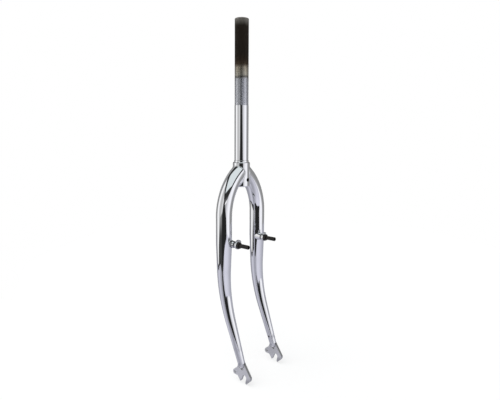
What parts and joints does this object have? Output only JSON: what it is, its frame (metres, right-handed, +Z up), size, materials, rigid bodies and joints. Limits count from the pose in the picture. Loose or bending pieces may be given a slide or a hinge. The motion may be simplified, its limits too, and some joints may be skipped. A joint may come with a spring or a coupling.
{
  "type": "rigid bicycle fork",
  "caption": "Rigid unicrown bicycle fork in chromed steel: threaded steerer, curved tapered blades, screwed-in brake pivot studs and hooked plate dropouts for a front wheel.",
  "frame": {"origin": "on the steerer axis, at the shoulder that the headset's lower race rests on", "axes": "+Z up the steerer, +X forwards along the rake, +Y to the rider's left"},
  "size_m": [0.0887, 0.1378, 0.7157],
  "materials": {
    "polished_chrome": "mirror polished, bright chrome plating",
    "satin_chrome": "satin chrome plating over an unpolished forging",
    "zinc_plate": "bright zinc plating on a stamping",
    "black_oxide": "oiled black oxide"
  },
  "bodies": {
    "root": {"steerer_tube": "polished_chrome", "left_blade": "polished_chrome", "right_blade": "polished_chrome", "left_dropout": "satin_chrome", "right_dropout": "satin_chrome", "left_brake_boss": "polished_chrome", "right_brake_boss": "polished_chrome", "left_spring_plate": "zinc_plate", "right_spring_plate": "zinc_plate", "left_pivot_stud": "black_oxide", "right_pivot_stud": "black_oxide"}
  },
  "joints": []
}
